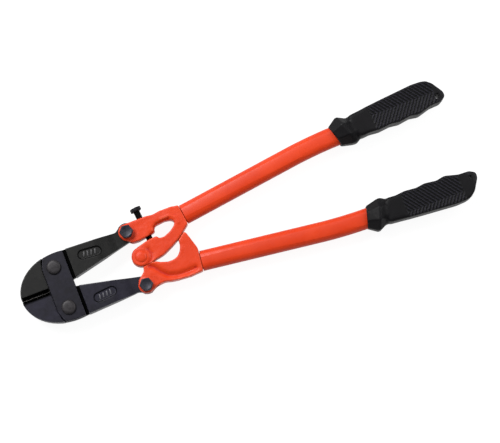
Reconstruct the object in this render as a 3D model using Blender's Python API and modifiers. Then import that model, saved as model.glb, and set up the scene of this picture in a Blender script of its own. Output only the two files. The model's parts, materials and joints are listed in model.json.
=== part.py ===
"""Bolt cutters with compound levers, 450 mm nominal, lying closed on a flat surface.

Lengths below are millimetres in the tool's own frame: x runs from the jaw pivots to the handle ends,
y from the lower handle to the upper one, z = 0 is the middle plane. Objects are made in metres.
"""
import math

import bmesh
import bpy
from mathutils import Matrix, Vector

# ---- driving dimensions ----
TIP_X = -40.2           # front of the jaws
JAW_PIVOT_Y = 20.6      # jaw bolts, either side of the middle line
TAIL_X = 77.2           # tail bolts
TAIL_Y = 27.4
CENTRE_X = 82.0         # pin that joins the two handle heads
JAW_T = 16.0            # jaw thickness
TAIL_T = 8.0            # thickness of the jaw's tail eye and of the lower head's tongue
PLATE_T = 4.0           # strap plates, let into both faces of the jaws
PLATE_LEFT = 11.2       # strap plate edge in front of the jaw bolts
PLATE_RIGHT = 13.1      # strap plate edge behind them
HEAD_T = 17.0           # thickness of the handle heads at their bosses
GAP = 0.3               # clearance between touching pieces
BOLT_R = 4.0            # M8 bolts
HEX_AF = 13.0           # their heads and nuts, across flats
PIN_R = 3.5             # centre pin
TAIL_PLAY = 2.6         # how far the lower tail bolt drifts in the lower jaw's eye
SCREW_R = 3.0           # M6 adjusting screw
SCREW_X = 96.0
SCREW_LEAN = 5.0        # degrees, towards the jaws
TUBE_W = 20.0           # oval tube, across the tool
TUBE_T = 14.0           # oval tube, through the tool
TUBE_WALL = 2.0
TUBE_RUN = 116.0        # straight length of tube between head and bend
HANDLE_ANGLE = 7.5      # degrees, tube against the middle line
GRIP_ANGLE = 1.5
GRIP_T = 24.0           # grip thickness
FLANGE_T = 32.0         # guard flange across flats
REST_Z = 16.0           # middle plane above the rest plane

TUBE_X0, TUBE_Y0 = 134.6, 24.1
BEND_R = 480.0

MM = 0.001
ANG = math.radians(HANDLE_ANGLE)
BEND_X0 = TUBE_X0 + TUBE_RUN * math.cos(ANG)
BEND_Y0 = TUBE_Y0 + TUBE_RUN * math.sin(ANG)
BEND_X1 = BEND_X0 + BEND_R * (math.sin(ANG) - math.sin(math.radians(GRIP_ANGLE)))
BEND_Y1 = BEND_Y0 + BEND_R * (math.cos(math.radians(GRIP_ANGLE)) - math.cos(ANG))
GRIP_X = BEND_X1 - 3.1      # the grip's own zero, at its front corner
GRIP_Y = BEND_Y1
GRIP_LEN = 116.57
MID_X = 0.5 * (TIP_X + GRIP_X + GRIP_LEN)
HALF_JAW = JAW_T / 2
HALF_TAIL = TAIL_T / 2
HALF_HEAD = HEAD_T / 2


def clear_scene():
    for obj in list(bpy.data.objects):
        bpy.data.objects.remove(obj, do_unlink=True)


clear_scene()
parts = bpy.data.collections.new("bolt_cutters")
bpy.context.scene.collection.children.link(parts)
cutters = bpy.data.collections.new("bolt_cutters_construction")
bpy.context.scene.collection.children.link(cutters)
cutters.hide_render = True


def world(x, y, z=0.0):
    return Vector(((x - MID_X) * MM, y * MM, (z + REST_Z) * MM))


def arc(cx, cy, r, start, end, steps):
    """Points on a circle between two angles in degrees."""
    out = []
    for i in range(steps + 1):
        a = math.radians(start + (end - start) * i / steps)
        out.append((cx + r * math.cos(a), cy + r * math.sin(a)))
    return out


def rounded(corners):
    """A closed outline; a corner given as (x, y, r) gets a fillet arc of that radius."""
    out = []
    n = len(corners)
    for i, corner in enumerate(corners):
        x, y = corner[0], corner[1]
        r = corner[2] if len(corner) > 2 else 0.0
        if r <= 0.0:
            out.append((x, y))
            continue
        here = Vector((x, y))
        back = Vector(corners[i - 1][:2]) - here
        ahead = Vector(corners[(i + 1) % n][:2]) - here
        opening = back.angle(ahead)
        reach = min(r / math.tan(opening / 2), 0.48 * back.length, 0.48 * ahead.length)
        r = reach * math.tan(opening / 2)
        centre = here + (back.normalized() + ahead.normalized()).normalized() * (r / math.sin(opening / 2))
        first = here + back.normalized() * reach - centre
        last = here + ahead.normalized() * reach - centre
        a0 = math.atan2(first.y, first.x)
        turn = (math.atan2(last.y, last.x) - a0 + math.pi) % (2 * math.pi) - math.pi
        steps = max(2, round(abs(math.degrees(turn)) / 15))
        for k in range(steps + 1):
            a = a0 + turn * k / steps
            out.append((centre.x + r * math.cos(a), centre.y + r * math.sin(a)))
    return out


def flip(points, side):
    """The same outline for the upper (side 1) or the lower (side -1) half."""
    return [(p[0], side * p[1]) + tuple(p[2:]) for p in points]


def link(name, mesh, collection):
    obj = bpy.data.objects.new(name, mesh)
    collection.objects.link(obj)
    if collection is cutters:
        obj.hide_render = True
        obj.display_type = 'WIRE'
    return obj


def soften(obj, width, segments=2):
    mod = obj.modifiers.new("edge", 'BEVEL')
    mod.width = width * MM
    mod.segments = segments
    mod.limit_method = 'ANGLE'
    mod.angle_limit = math.radians(40)
    mod.use_clamp_overlap = True


def slab(name, points, z0, z1, bevel=0.0, segments=2, collection=None):
    """A flat outline filled and extruded from z0 to z1."""
    curve = bpy.data.curves.new(name + "_outline", 'CURVE')
    curve.dimensions = '2D'
    curve.fill_mode = 'BOTH'
    curve.extrude = 0.5 * (z1 - z0) * MM
    spline = curve.splines.new('POLY')
    spline.points.add(len(points) - 1)
    for point, (x, y) in zip(spline.points, points):
        place = world(x, y)
        point.co = (place.x, place.y, 0.0, 1.0)
    spline.use_cyclic_u = True
    holder = bpy.data.objects.new(name + "_outline", curve)
    cutters.objects.link(holder)
    holder.location.z = (0.5 * (z0 + z1) + REST_Z) * MM
    bpy.context.view_layer.update()
    mesh = bpy.data.meshes.new_from_object(holder)
    mesh.transform(holder.matrix_world)
    mesh.name = name
    bpy.data.objects.remove(holder, do_unlink=True)
    tidy_mesh(mesh)
    obj = link(name, mesh, collection or cutters)
    if bevel:
        soften(obj, bevel, segments)
    return obj


def tidy_mesh(mesh):
    bm = bmesh.new()
    bm.from_mesh(mesh)
    bmesh.ops.remove_doubles(bm, verts=bm.verts, dist=1e-6)
    bmesh.ops.dissolve_limit(bm, angle_limit=math.radians(0.4), verts=bm.verts, edges=bm.edges)
    bmesh.ops.recalc_face_normals(bm, faces=bm.faces)
    bm.to_mesh(mesh)
    bm.free()


def rod(name, start, end, r, sides=40, r_end=None, turn=0.0, bevel=0.0, segments=2, collection=None):
    """A cylinder, cone or hexagon between two points of the tool frame."""
    a, b = world(*start), world(*end)
    bm = bmesh.new()
    bmesh.ops.create_cone(bm, cap_ends=True, segments=sides, radius1=r * MM,
                          radius2=(r if r_end is None else r_end) * MM, depth=(b - a).length)
    spin = Matrix.Rotation(math.radians(turn), 4, 'Z')
    aim = (b - a).to_track_quat('Z', 'Y').to_matrix().to_4x4()
    bmesh.ops.transform(bm, matrix=Matrix.Translation((a + b) / 2) @ aim @ spin, verts=bm.verts)
    mesh = bpy.data.meshes.new(name)
    bm.to_mesh(mesh)
    bm.free()
    obj = link(name, mesh, collection or cutters)
    if bevel:
        soften(obj, bevel, segments)
    return obj


def combine(obj, other, operation):
    mod = obj.modifiers.new(operation.lower() + "_" + other.name, 'BOOLEAN')
    mod.object = other
    mod.operation = operation
    mod.solver = 'EXACT'


def add(obj, other):
    combine(obj, other, 'UNION')


def cut(obj, other):
    combine(obj, other, 'DIFFERENCE')


def finish(obj, colour, metallic, roughness):
    mat = bpy.data.materials.new(obj.name + "_finish")
    mat.use_nodes = True
    shader = mat.node_tree.nodes["Principled BSDF"]
    shader.inputs["Base Color"].default_value = (*colour, 1.0)
    shader.inputs["Metallic"].default_value = metallic
    shader.inputs["Roughness"].default_value = roughness
    mat.diffuse_color = (*colour, 1.0)
    obj.data.materials.clear()
    obj.data.materials.append(mat)


def black_steel(obj):
    finish(obj, (0.026, 0.026, 0.030), 0.6, 0.42)


def bolt_steel(obj):
    finish(obj, (0.060, 0.065, 0.075), 0.7, 0.40)


def red_paint(obj):
    finish(obj, (0.800, 0.085, 0.030), 0.0, 0.38)


def black_grip(obj):
    finish(obj, (0.018, 0.018, 0.019), 0.0, 0.62)


# ---- the jaws ----
def jaw_back(x):
    """How far the round back of a closed jaw lies from the middle line."""
    return (JAW_PIVOT_Y + 13.7) * math.sqrt(1.0 - ((x - 4.8) / (4.8 - TIP_X)) ** 2)


def jaw(name, side):
    tail_r = 9.3
    centre_x, half_long, half_wide = 4.8, 4.8 - TIP_X, JAW_PIVOT_Y + 13.7
    front = []
    for i in range(19):
        a = math.radians(179.6 - i * (179.6 - 79.0) / 18)
        front.append((centre_x + half_long * math.cos(a), half_wide * math.sin(a)))
    outer = [(TAIL_X - 30.0, half_wide - 2.3), (TAIL_X - 10.5, TAIL_Y + 3.6, 3.0)]
    eye = arc(TAIL_X, TAIL_Y, tail_r, 142, -77.5, 16)
    inner = [(-1.5, 0.15, 2.0)]
    outline = rounded([(front[0][0], 0.15)] + front + outer + eye + inner)
    obj = slab(name, flip(outline, side), -HALF_JAW, HALF_JAW, bevel=0.5, collection=parts)
    # the tail is thinned on both faces, with a ramp, so that it enters the fork of the head
    ramp = [(TAIL_X - 21.0, HALF_JAW + 0.6), (TAIL_X - 12.4, HALF_TAIL), (TAIL_X + 20.0, HALF_TAIL),
            (TAIL_X + 20.0, HALF_JAW + 6.0), (TAIL_X - 21.0, HALF_JAW + 6.0)]
    for face in (1, -1):
        wedge = side_prism(f"{name}_ramp_{face}", [(x, face * z) for x, z in ramp], side * 5.0, side * 60.0)
        cut(obj, wedge)
        cut(obj, recess(f"{name}_recess_{face}", side, face))
        blade = [(0.05, HALF_JAW * 0.35), (3.3, HALF_JAW + 0.3), (3.3, HALF_JAW + 4), (-4, HALF_JAW + 4),
                 (-4, HALF_JAW * 0.35)]
        cut(obj, end_prism(f"{name}_bevel_{face}", [(side * y, face * z) for y, z in blade], TIP_X - 6, -12.4))
        cut(obj, stadium(f"{name}_panel_{face}", 37.0, side * 21.5, 23.0, 9.0, -5.0 * side,
                         face * (HALF_JAW - 0.8), face * (HALF_JAW + 3)))
    cut(obj, rod(name + "_bore", (0, side * JAW_PIVOT_Y, -20), (0, side * JAW_PIVOT_Y, 20), BOLT_R + 1.0 + GAP))
    eye_r = BOLT_R + GAP + (TAIL_PLAY if side < 0 else 0.0)
    cut(obj, rod(name + "_eye", (TAIL_X, side * TAIL_Y, -20), (TAIL_X, side * TAIL_Y, 20), eye_r))
    black_steel(obj)
    return obj


def side_prism(name, profile, y0, y1):
    """An x-z outline extruded along y."""
    return prism(name, [world(x, y0, z) for x, z in profile], world(0, y1, 0) - world(0, y0, 0))


def end_prism(name, profile, x0, x1):
    """A y-z outline extruded along x."""
    return prism(name, [world(x0, y, z) for y, z in profile], world(x1, 0, 0) - world(x0, 0, 0))


def prism(name, corners, travel):
    bm = bmesh.new()
    face = bm.faces.new([bm.verts.new(c) for c in corners])
    moved = bmesh.ops.extrude_face_region(bm, geom=[face])["geom"]
    bmesh.ops.translate(bm, vec=travel, verts=[v for v in moved if isinstance(v, bmesh.types.BMVert)])
    bmesh.ops.recalc_face_normals(bm, faces=bm.faces)
    mesh = bpy.data.meshes.new(name)
    bm.to_mesh(mesh)
    bm.free()
    return link(name, mesh, cutters)


def stadium(name, cx, cy, length, width, angle, z0, z1, steps=8):
    r = width / 2
    half = length / 2 - r
    points = arc(half, 0, r, -90, 90, steps) + arc(-half, 0, r, 90, 270, steps)
    a = math.radians(angle)
    ca, sa = math.cos(a), math.sin(a)
    turned = [(cx + x * ca - y * sa, cy + x * sa + y * ca) for x, y in points]
    return slab(name, turned, min(z0, z1), max(z0, z1))


def recess(name, side, face):
    """The room across a jaw's face for a strap plate, wide enough for the jaw to turn under it."""
    r = PLATE_LEFT + 0.4
    y = JAW_PIVOT_Y
    points = [(-r, -8.0)] + arc(0, y, r, 180, 157.5, 4)
    for angle, more in ((150.0, 0.65), (142.5, 1.3), (135.0, 2.0), (125.5, 2.8), (118.0, 5.2)):
        points += arc(0, y, r + more, angle, angle, 1)[:1]
    points += [(-8.0, y + 26.0), (PLATE_RIGHT + 3.2, y + 26.0), (PLATE_RIGHT + 3.2, -8.0)]
    floor = HALF_JAW - PLATE_T - GAP
    return slab(name, flip(points, side), min(face * floor, face * 20), max(face * floor, face * 20))


# ---- the strap plates and the jaw bolts ----
def strap_plate(name, face):
    """A plate with ends that follow the backs of the closed jaws."""
    y = JAW_PIVOT_Y
    top = arc(0, y, PLATE_LEFT, 180, 150, 6)
    for x in (-6.3, -2.0, 3.0, 8.0, PLATE_RIGHT):
        top.append((x, jaw_back(x) - 0.45))
    bottom = [(x, -py) for x, py in reversed(top)]
    z0, z1 = HALF_JAW - PLATE_T, HALF_JAW
    obj = slab(name, rounded(top + bottom), min(face * z0, face * z1), max(face * z0, face * z1), bevel=0.35,
               collection=parts)
    for side in (1, -1):
        cut(obj, rod(f"{name}_hole_{side}", (0, side * y, -20), (0, side * y, 20), BOLT_R + GAP))
    black_steel(obj)
    return obj


def jaw_bolt(name, side):
    y = side * JAW_PIVOT_Y
    z = HALF_JAW + GAP
    obj = rod(name, (0, y, -REST_Z + 0.5), (0, y, z + 1.0), BOLT_R, collection=parts)
    head = rod(name + "_head", (0, y, z), (0, y, z + 2.6), 6.5, sides=36, bevel=0.7)
    reach = HALF_JAW - PLATE_T - GAP
    sleeve = rod(name + "_collar", (0, y, -reach), (0, y, reach), BOLT_R + 1.0)
    add(obj, head)
    add(obj, sleeve)
    finish(obj, (0.050, 0.043, 0.040), 0.6, 0.45)
    return obj


def nut(name, x, y, z_top):
    obj = rod(name, (x, y, -REST_Z), (x, y, z_top), HEX_AF / math.sqrt(3), sides=6, turn=21, bevel=0.5,
              collection=parts)
    cut(obj, rod(name + "_thread", (x, y, -REST_Z - 3), (x, y, z_top + 3), BOLT_R + GAP))
    bolt_steel(obj)
    return obj


def lock_washer(name, x, y, z_top):
    obj = rod(name, (x, y, z_top - 1.5), (x, y, z_top), 6.9, sides=48, collection=parts)
    cut(obj, rod(name + "_hole", (x, y, z_top - 6), (x, y, z_top + 6), BOLT_R + GAP))
    split = [(x + 2.0, y - 0.6), (x + 9.0, y - 0.1), (x + 9.0, y + 1.1), (x + 2.0, y + 0.6)]
    cut(obj, slab(name + "_split", split, z_top - 6, z_top + 6))
    bolt_steel(obj)
    return obj


def tail_bolt(name, side):
    y = side * TAIL_Y
    z = HALF_HEAD + GAP
    obj = rod(name, (TAIL_X, y, -REST_Z + 0.5), (TAIL_X, y, z + 1.0), BOLT_R, collection=parts)
    head = rod(name + "_head", (TAIL_X, y, z), (TAIL_X, y, z + 5.3), HEX_AF / math.sqrt(3), sides=6, turn=21,
               bevel=0.6)
    add(obj, head)
    bolt_steel(obj)
    return obj


# ---- the handle heads ----
def tang(name, side, into):
    """The oval stub of a head that fills the front of the tube."""
    ca, sa = math.cos(ANG), math.sin(ANG)
    w = TUBE_W / 2 - TUBE_WALL - GAP
    t = TUBE_T / 2 - TUBE_WALL - GAP
    x0, y0 = TUBE_X0 - 8.0 * ca, TUBE_Y0 - 8.0 * sa
    path = [(x0, y0), (TUBE_X0 + into * ca, TUBE_Y0 + into * sa)]
    return sweep(name, flip(path, side), w, t)


def sweep(name, path, half_w, half_t, collection=None):
    """An oval section carried along a path in the middle plane."""
    flat = half_w - half_t
    section = bpy.data.curves.new(name + "_section", 'CURVE')
    section.dimensions = '2D'
    outline = arc(flat, 0, half_t, -90, 90, 8) + arc(-flat, 0, half_t, 90, 270, 8)
    line = section.splines.new('POLY')
    line.points.add(len(outline) - 1)
    for point, (x, y) in zip(line.points, outline):
        point.co = (x * MM, y * MM, 0.0, 1.0)
    line.use_cyclic_u = True
    holder = bpy.data.objects.new(name + "_section", section)
    cutters.objects.link(holder)
    holder.hide_render = True
    curve = bpy.data.curves.new(name + "_path", 'CURVE')
    curve.dimensions = '3D'
    curve.twist_mode = 'Z_UP'
    curve.bevel_mode = 'OBJECT'
    curve.bevel_object = holder
    curve.use_fill_caps = True
    run = curve.splines.new('POLY')
    run.points.add(len(path) - 1)
    for point, (x, y) in zip(run.points, path):
        point.co = (*world(x, y), 1.0)
    carrier = bpy.data.objects.new(name + "_path", curve)
    cutters.objects.link(carrier)
    bpy.context.view_layer.update()
    ready = carrier.evaluated_get(bpy.context.evaluated_depsgraph_get())
    mesh = bpy.data.meshes.new_from_object(ready)
    mesh.transform(carrier.matrix_world)
    bpy.data.objects.remove(carrier, do_unlink=True)
    bpy.data.objects.remove(holder, do_unlink=True)
    tidy_mesh(mesh)
    return link(name, mesh, collection or cutters)


def head_bores(obj, side):
    name = obj.name
    y = side * TAIL_Y
    # the fork that takes the jaw's tail
    fork_r = 10.1 if side > 0 else 9.6 + TAIL_PLAY
    cut(obj, rod(name + "_fork", (TAIL_X, y, -HALF_TAIL - GAP), (TAIL_X, y, HALF_TAIL + GAP), fork_r, sides=64))
    mouth = [(TAIL_X - 22, TAIL_Y - 17), (TAIL_X + 2.6, TAIL_Y - 17), (TAIL_X + 2.6, TAIL_Y + 17),
             (TAIL_X - 22, TAIL_Y + 17)]
    cut(obj, slab(name + "_fork_mouth", flip(mouth, side), -HALF_TAIL - GAP, HALF_TAIL + GAP))
    cut(obj, rod(name + "_tail_hole", (TAIL_X, y, -20), (TAIL_X, y, 20), BOLT_R + GAP))


def upper_head():
    x, y = TAIL_X, TAIL_Y
    cx = CENTRE_X
    top = arc(x, y, 8.0, 195, 85, 10)
    top += [(100.0, 35.2, 12), (106.0, 34.3, 12), (114.0, 35.5, 12), (126.0, 35.2, 12)]
    seam = [(133.1, 33.9), (135.6, 14.1)]
    under = [(125.4, 5.9, 8), (121.6, 3.2, 8), (113.2, -1.4, 12), (102.9, -6.0, 12)]
    under += [(92.4, -7.9, 10)] + arc(cx, 0, 9.4, -75, -255, 14)
    slot = [(91.7, 12.4, 8), (97.9, 13.3, 8), (102.6, 13.4, 1.6), (105.0, 10.6, 2.4), (109.5, 10.4, 5)]
    slot += [(117.0, 13.3, 6), (122.0, 16.8, 4), (124.2, 20.4, 3), (121.8, 23.4, 3), (114.8, 24.6, 6)]
    slot += [(106.0, 23.7, 3), (103.6, 21.7, 2.4), (102.8, 18.2, 1.6), (99.5, 17.3, 4), (93.1, 16.2, 6)]
    slot += [(85.9, 15.2, 5), (79.6, 15.5, 3.5), (71.6, 21.0, 3)]
    obj = slab("upper_handle_head", rounded(top + seam + under + slot), 0.5 - HALF_HEAD, HALF_HEAD - 0.5,
               bevel=0.9, segments=2, collection=parts)
    for bx, by, r in ((x, y, 7.6), (cx, 0.0, 8.8)):
        add(obj, rod(f"upper_boss_{round(by)}", (bx, by, -HALF_HEAD), (bx, by, HALF_HEAD), r, sides=36,
                     bevel=0.7, segments=1))
    add(obj, tang("upper_tang", 1, 30.0))
    head_bores(obj, 1)
    # the fork over the lower head's tongue, open to the left
    cut(obj, rod("upper_centre_fork", (cx + 0.9, 0.9, -HALF_TAIL - GAP), (cx + 0.9, 0.9, HALF_TAIL + GAP), 12.8,
                 sides=64))
    cut(obj, rod("upper_pin_hole", (cx, 0, -20), (cx, 0, 20), PIN_R + GAP))
    cut(obj, rod("upper_screw_hole", screw_line(9.4), screw_line(45.0), SCREW_R + GAP, sides=32))
    red_paint(obj)
    return obj


def lower_head():
    x, y = TAIL_X, -TAIL_Y
    cx = CENTRE_X
    left = [(79.4, -14.3, 4), (80.4, -9.0), (80.4, 0.0), (90.6, 0.0), (90.9, -8.7)]
    moon = [(93.6, -9.3, 3), (98.1, -11.6, 6), (104.0, -13.6, 8), (109.7, -14.0, 8), (115.0, -12.2, 6)]
    moon += [(118.6, -8.4, 6), (121.0, -2.4, 6)]
    horn = [(121.1, 2.2, 0.8), (125.6, 5.4, 6), (128.6, 7.8, 1.2), (130.6, 6.2, 1.5), (132.6, 0.0, 10)]
    seam = [(135.8, -11.2, 4), (135.7, -14.3), (133.1, -33.9)]
    bottom = [(121.0, -34.6, 12), (108.0, -33.6, 20), (100.6, -32.4, 12), (95.0, -30.6, 10), (86.0, -31.6, 12)]
    bottom += arc(x, y, 8.0, -70, -195, 10)
    bottom += [(71.8, -20.6, 3)]
    obj = slab("lower_handle_head", rounded(left + moon + horn + seam + bottom), 0.5 - HALF_HEAD,
               HALF_HEAD - 0.5, bevel=0.9, segments=2, collection=parts)
    add(obj, rod("lower_boss", (x, y, -HALF_HEAD), (x, y, HALF_HEAD), 7.6, sides=36, bevel=0.7, segments=1))
    add(obj, rod("lower_tongue", (cx, 0, -HALF_TAIL), (cx, 0, HALF_TAIL), 9.1, sides=64))
    add(obj, tang("lower_tang", -1, 30.0))
    head_bores(obj, -1)
    # room for the cheeks of the upper head, which turn on the centre pin
    for face in (1, -1):
        z0, z1 = sorted((face * HALF_TAIL, face * 20))
        cut(obj, rod(f"lower_cheek_room_{face}", (cx, 0, z0), (cx, 0, z1), 9.75, sides=72))
        beside = [(cx, -9.74), (cx + 2.0, -9.6), (cx + 9.5, -8.5), (cx + 12.0, -7.8)]
        beside += [(cx + 12.0, 3.0), (cx, 3.0)]
        cut(obj, slab(f"lower_arm_room_{face}", beside, z0, z1))
        pocket = [(84.5, -20.5, 3), (97.0, -17.5, 5), (112.0, -19.0, 6), (122.0, -11.0, 6), (126.2, -3.0, 2)]
        pocket += [(131.0, -12.0, 3), (129.2, -29.6, 3), (112.0, -29.8, 8), (96.0, -26.4, 8), (86.4, -27.6, 2)]
        cut(obj, slab(f"lower_pocket_{face}", rounded(pocket), *sorted((face * (HALF_HEAD - 1.5), face * 20))))
    cut(obj, rod("lower_pin_hole", (cx, 0, -20), (cx, 0, 20), PIN_R + GAP))
    red_paint(obj)
    return obj


def centre_pin():
    cx = CENTRE_X
    reach = HALF_HEAD + GAP
    obj = rod("center_pivot_pin", (cx, 0, -reach - 0.6), (cx, 0, reach + 0.6), PIN_R, collection=parts)
    for face in (1, -1):
        add(obj, rod(f"center_pin_head_{face}", (cx, 0, face * reach), (cx, 0, face * (reach + 1.3)), 6.0,
                     sides=36, bevel=0.6, segments=1))
    red_paint(obj)
    return obj


def screw_line(y):
    """A point on the screw's axis, which leans towards the jaws."""
    return SCREW_X - (y - 12.0) * math.tan(math.radians(SCREW_LEAN)), y, 0


def adjusting_screw():
    obj = rod("adjusting_screw", screw_line(10.0), screw_line(44.5), SCREW_R, sides=32, bevel=0.4,
              collection=parts)
    head = rod("adjusting_screw_hex", screw_line(43.4), screw_line(47.2), 10.0 / math.sqrt(3), sides=6,
               turn=12, bevel=0.5)
    add(obj, head)
    black_steel(obj)
    return obj


# ---- tubes and grips ----
def tube_path(start, end):
    """Middle line of the tube: straight, a gentle bend, straight again inside the grip."""
    ca, sa = math.cos(ANG), math.sin(ANG)
    points = [(TUBE_X0 + start * ca, TUBE_Y0 + start * sa)]
    for i in range(9):
        a = ANG + (math.radians(GRIP_ANGLE) - ANG) * i / 8
        points.append((BEND_X0 + BEND_R * (math.sin(ANG) - math.sin(a)),
                       BEND_Y0 + BEND_R * (math.cos(a) - math.cos(ANG))))
    a = math.radians(GRIP_ANGLE)
    points.append((points[-1][0] + end * math.cos(a), points[-1][1] + end * math.sin(a)))
    return points


def handle_tube(name, side):
    obj = sweep(name, flip(tube_path(0.3, 84.0), side), TUBE_W / 2, TUBE_T / 2, collection=parts)
    bore = sweep(name + "_bore", flip(tube_path(-4.0, 90.0), side), TUBE_W / 2 - TUBE_WALL,
                 TUBE_T / 2 - TUBE_WALL)
    cut(obj, bore)
    red_paint(obj)
    return obj


def flange(name, side):
    """The eight-sided guard in front of the hand: narrow front face, wide rim, neck."""
    stations = [(2.5, -0.8, 10.7, 16.5), (3.3, -0.7, 11.2, 16.5), (14.0, 0.7, 16.0, 20.0),
                (16.2, 0.9, 16.0, 20.0), (22.0, 0.8, 12.2, 18.5), (30.0, 1.6, 11.0, 10.0)]
    bm = bmesh.new()
    rings = []
    for x, y, flat, tilt in stations:
        size = flat * (FLANGE_T / 32.0)
        ring = bmesh.ops.create_circle(bm, segments=8, radius=size / math.cos(math.pi / 8) * MM)["verts"]
        spin = Matrix.Rotation(math.pi / 8, 4, 'Z')
        stand = Matrix.Rotation(math.pi / 2, 4, 'Y')
        lean = Matrix.Rotation(math.radians(side * tilt), 4, 'Z')
        place = Matrix.Translation(world(GRIP_X + x, side * (GRIP_Y + y)))
        bmesh.ops.transform(bm, matrix=place @ lean @ stand @ spin, verts=ring)
        edges = {e for v in ring for e in v.link_edges}
        rings.append(list(edges))
    for a, b in zip(rings, rings[1:]):
        bmesh.ops.bridge_loops(bm, edges=a + b)
    bmesh.ops.holes_fill(bm, edges=bm.edges, sides=8)
    bmesh.ops.recalc_face_normals(bm, faces=bm.faces)
    mesh = bpy.data.meshes.new(name)
    bm.to_mesh(mesh)
    bm.free()
    obj = link(name, mesh, cutters)
    soften(obj, 0.8, 2)
    return obj


def grip(name, side):
    outer = [(20.0, 12.8, 2), (56.0, 16.3, 60), (89.5, 19.2, 30), (98.9, 18.8, 6), (104.2, 17.6, 6)]
    outer += [(109.2, 13.4, 6), (116.2, 2.4, 7), (116.9, -3.2, 4), (110.6, -6.6, 4)]
    waves = [(99.8, -7.2, 6), (86.6, -10.9, 8), (77.8, -9.3, 6), (66.0, -11.0, 8), (57.1, -9.8, 6)]
    waves += [(45.4, -11.0, 8), (35.8, -10.2, 6), (25.0, -11.4, 3)]
    outline = [(GRIP_X + x, GRIP_Y + y, r) for x, y, r in outer + waves]
    obj = slab(name, flip(rounded(outline), side), -GRIP_T / 2, GRIP_T / 2, bevel=5.0, segments=4,
               collection=parts)
    add(obj, flange(name + "_flange", side))
    path = tube_path(TUBE_RUN * 0.6, 84.3)
    cut(obj, sweep(name + "_bore", flip(path, side), TUBE_W / 2 + GAP, TUBE_T / 2 + GAP))
    cut(obj, stadium(name + "_hanging_hole", GRIP_X + 109.3, side * (GRIP_Y - 0.6), 8.8, 6.0, 68 * side,
                     -30, 30))
    black_grip(obj)
    return obj


# ---- assembly ----
def joint(name, x, y, z=0.0, along=None):
    """An empty on a joint's axis, its z along that axis."""
    axis = bpy.data.objects.new(name, None)
    axis.empty_display_type = 'SINGLE_ARROW'
    axis.empty_display_size = 0.03
    axis.location = world(x, y, z)
    if along:
        axis.rotation_mode = 'QUATERNION'
        axis.rotation_quaternion = Vector(along).to_track_quat('Z', 'Y')
    parts.objects.link(axis)
    return axis


def carry(axis, objects):
    bpy.context.view_layer.update()
    for obj in objects:
        obj.parent = axis
        obj.matrix_parent_inverse = axis.matrix_world.inverted()


root = joint("strap_plate_axis", 0, 0)
upper_jaw_axis = joint("upper_jaw_axis", 0, JAW_PIVOT_Y)
lower_jaw_axis = joint("lower_jaw_axis", 0, -JAW_PIVOT_Y)
upper_handle_axis = joint("upper_handle_axis", TAIL_X, TAIL_Y)
lower_handle_axis = joint("lower_handle_axis", TAIL_X, -TAIL_Y)
centre_axis = joint("centre_pivot_axis", CENTRE_X, 0)
lean = math.radians(SCREW_LEAN)
screw_axis = joint("adjusting_screw_axis", *screw_line(30.0), along=(-math.sin(lean), math.cos(lean), 0))

fixed = [strap_plate("front_strap_plate", 1), strap_plate("rear_strap_plate", -1)]
for label, side in (("upper", 1), ("lower", -1)):
    fixed.append(jaw_bolt(f"{label}_jaw_pivot_bolt", side))
    fixed.append(lock_washer(f"{label}_jaw_lock_washer", 0, side * JAW_PIVOT_Y, -HALF_JAW - GAP))
    fixed.append(nut(f"{label}_jaw_pivot_nut", 0, side * JAW_PIVOT_Y, -HALF_JAW - 2 * GAP - 1.5))
carry(root, fixed)
carry(upper_jaw_axis, [jaw("upper_jaw", 1)])
carry(lower_jaw_axis, [jaw("lower_jaw", -1)])

for label, side, axis, head in (("upper", 1, upper_handle_axis, upper_head()),
                                ("lower", -1, lower_handle_axis, lower_head())):
    pieces = [head, tail_bolt(f"{label}_tail_bolt", side)]
    pieces.append(lock_washer(f"{label}_tail_lock_washer", TAIL_X, side * TAIL_Y, -HALF_HEAD - GAP))
    pieces.append(nut(f"{label}_tail_nut", TAIL_X, side * TAIL_Y, -HALF_HEAD - 2 * GAP - 1.5))
    pieces.append(handle_tube(f"{label}_handle_tube", side))
    pieces.append(grip(f"{label}_grip", side))
    carry(axis, pieces)
carry(centre_axis, [centre_pin()])
carry(screw_axis, [adjusting_screw()])
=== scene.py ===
import json
import math

import bmesh
import bpy
import numpy as np
from mathutils import Matrix, Vector, noise


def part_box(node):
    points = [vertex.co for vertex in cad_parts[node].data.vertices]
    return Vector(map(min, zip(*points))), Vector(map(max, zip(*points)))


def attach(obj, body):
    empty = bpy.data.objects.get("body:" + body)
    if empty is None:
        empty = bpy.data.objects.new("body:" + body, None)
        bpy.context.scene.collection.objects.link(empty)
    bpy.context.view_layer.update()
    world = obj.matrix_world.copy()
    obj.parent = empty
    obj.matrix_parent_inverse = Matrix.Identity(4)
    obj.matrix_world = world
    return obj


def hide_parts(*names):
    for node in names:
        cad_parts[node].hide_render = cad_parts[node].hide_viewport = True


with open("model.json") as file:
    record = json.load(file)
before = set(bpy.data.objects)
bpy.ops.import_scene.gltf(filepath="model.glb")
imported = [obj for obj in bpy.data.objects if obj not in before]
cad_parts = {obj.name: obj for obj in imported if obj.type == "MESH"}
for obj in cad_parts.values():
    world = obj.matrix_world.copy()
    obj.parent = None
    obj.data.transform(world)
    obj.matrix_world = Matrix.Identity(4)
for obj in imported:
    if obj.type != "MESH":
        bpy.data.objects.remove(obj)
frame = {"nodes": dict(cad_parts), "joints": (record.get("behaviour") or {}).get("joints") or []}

# Bolt cutters, closed and lying flat. Lengths are millimetres in the tool's own frame: x from the jaw bolts
# to the handle ends, y from the lower handle to the upper one, z = 0 in the middle plane. The side of a piece
# is 1 for the upper half and -1 for the lower one.
MM = 0.001
HINGES = {joint["name"]: Vector(joint["pos_m"]) for joint in frame["joints"]}
HINGE_AXES = {joint["name"]: Vector(joint["axis"]) for joint in frame["joints"]}
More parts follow.
